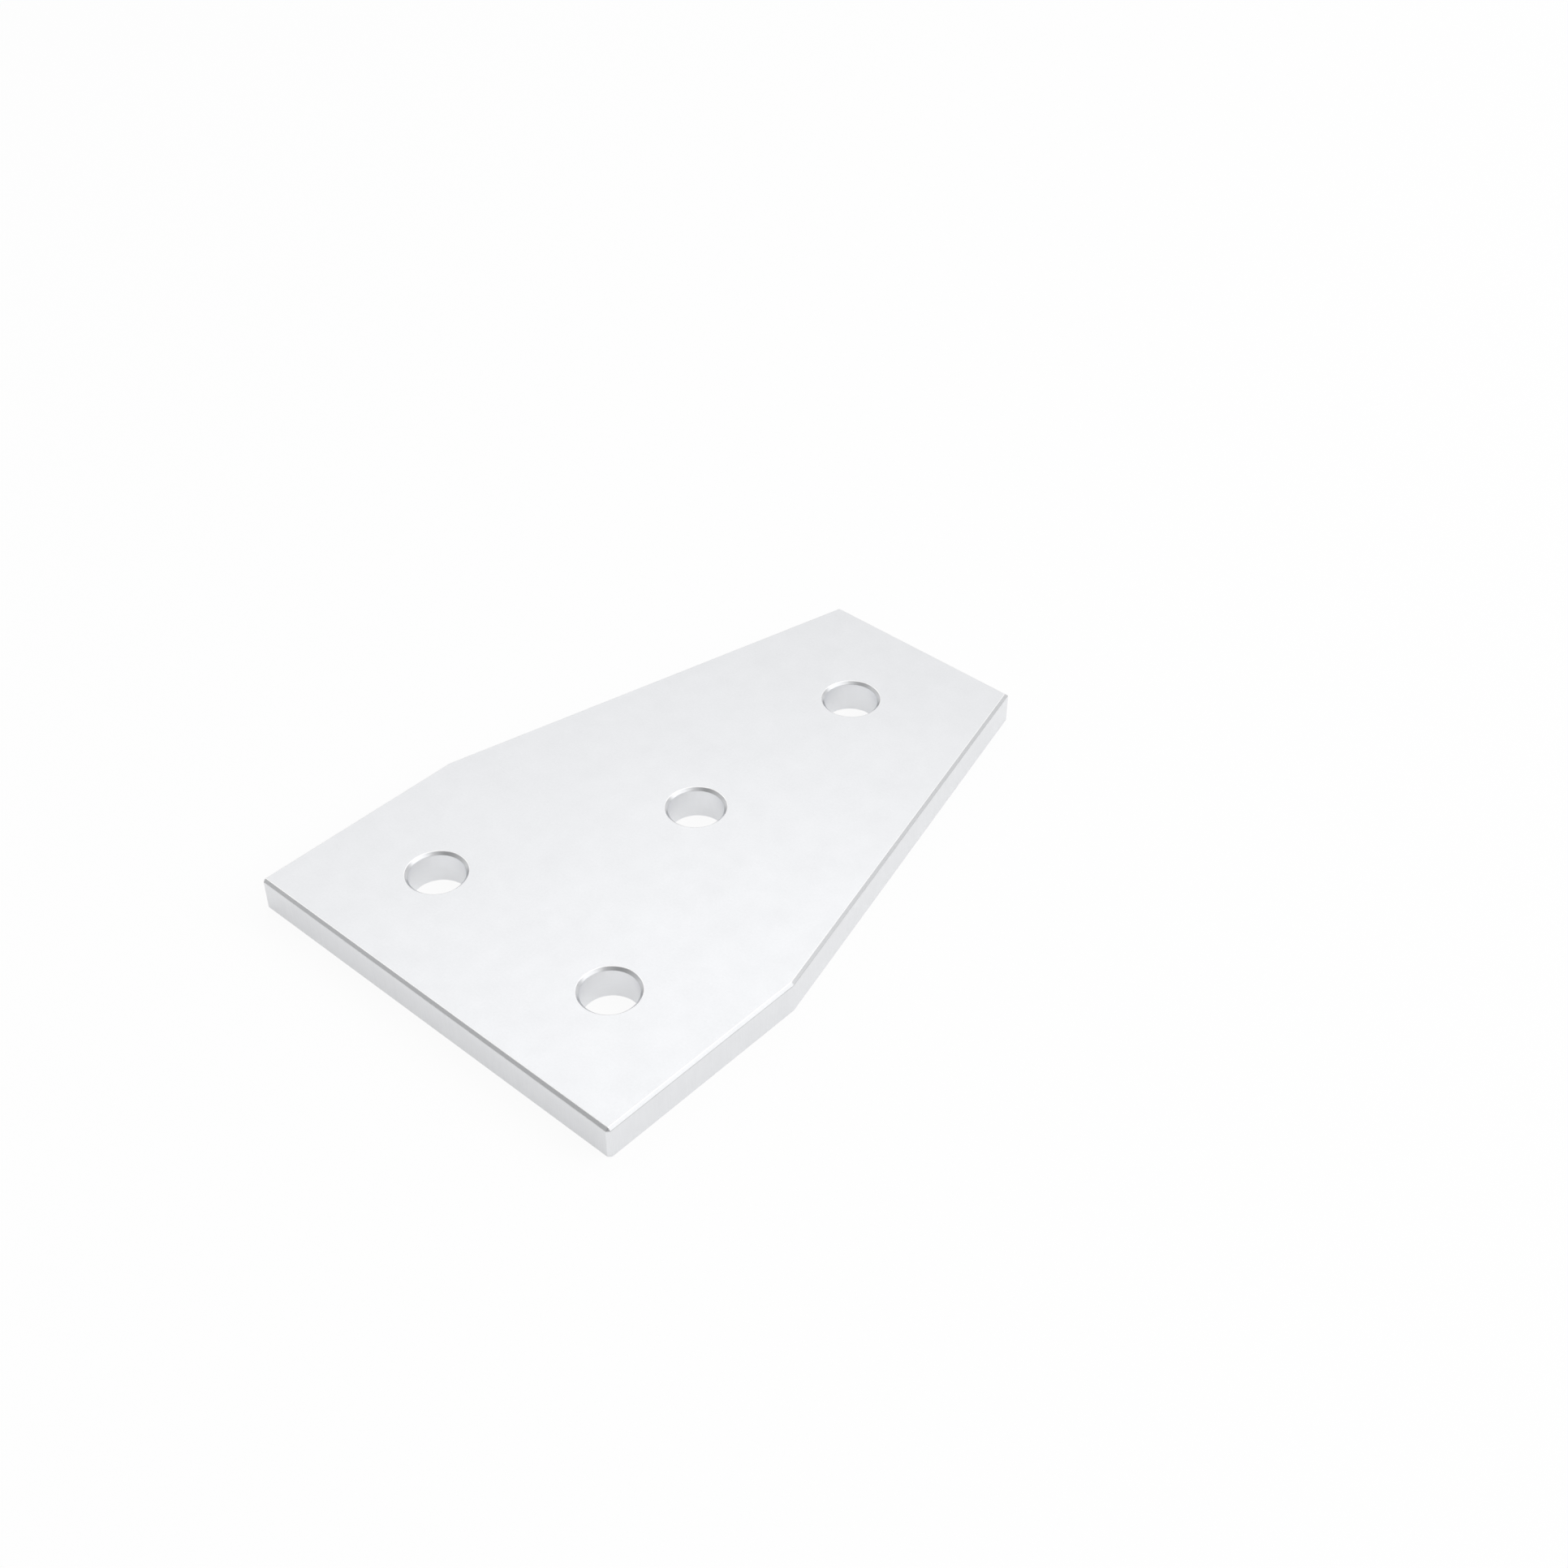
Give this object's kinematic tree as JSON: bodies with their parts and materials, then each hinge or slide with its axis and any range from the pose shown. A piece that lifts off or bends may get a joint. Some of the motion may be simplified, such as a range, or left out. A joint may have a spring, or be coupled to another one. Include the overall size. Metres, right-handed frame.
{
  "type": "extrusion joining plate",
  "caption": "Flat T-shaped plate, square over a crossbar and tapered along a stem, that bolts the end of one framing extrusion square to the side of another.",
  "frame": {"origin": "on the underside, the face that lies on the extrusions, where the centreline of the crossbar's holes crosses the centreline of the stem's holes", "axes": "+X along the crossbar, +Y along the stem to the narrow end, +Z out of the chamfered top face, where the bolt heads sit"},
  "size_m": [0.08, 0.12, 0.006],
  "materials": {
    "anodised_aluminium": "pale satin, clear anodised"
  },
  "bodies": {
    "root": {"joining_plate": "anodised_aluminium"}
  },
  "joints": []
}
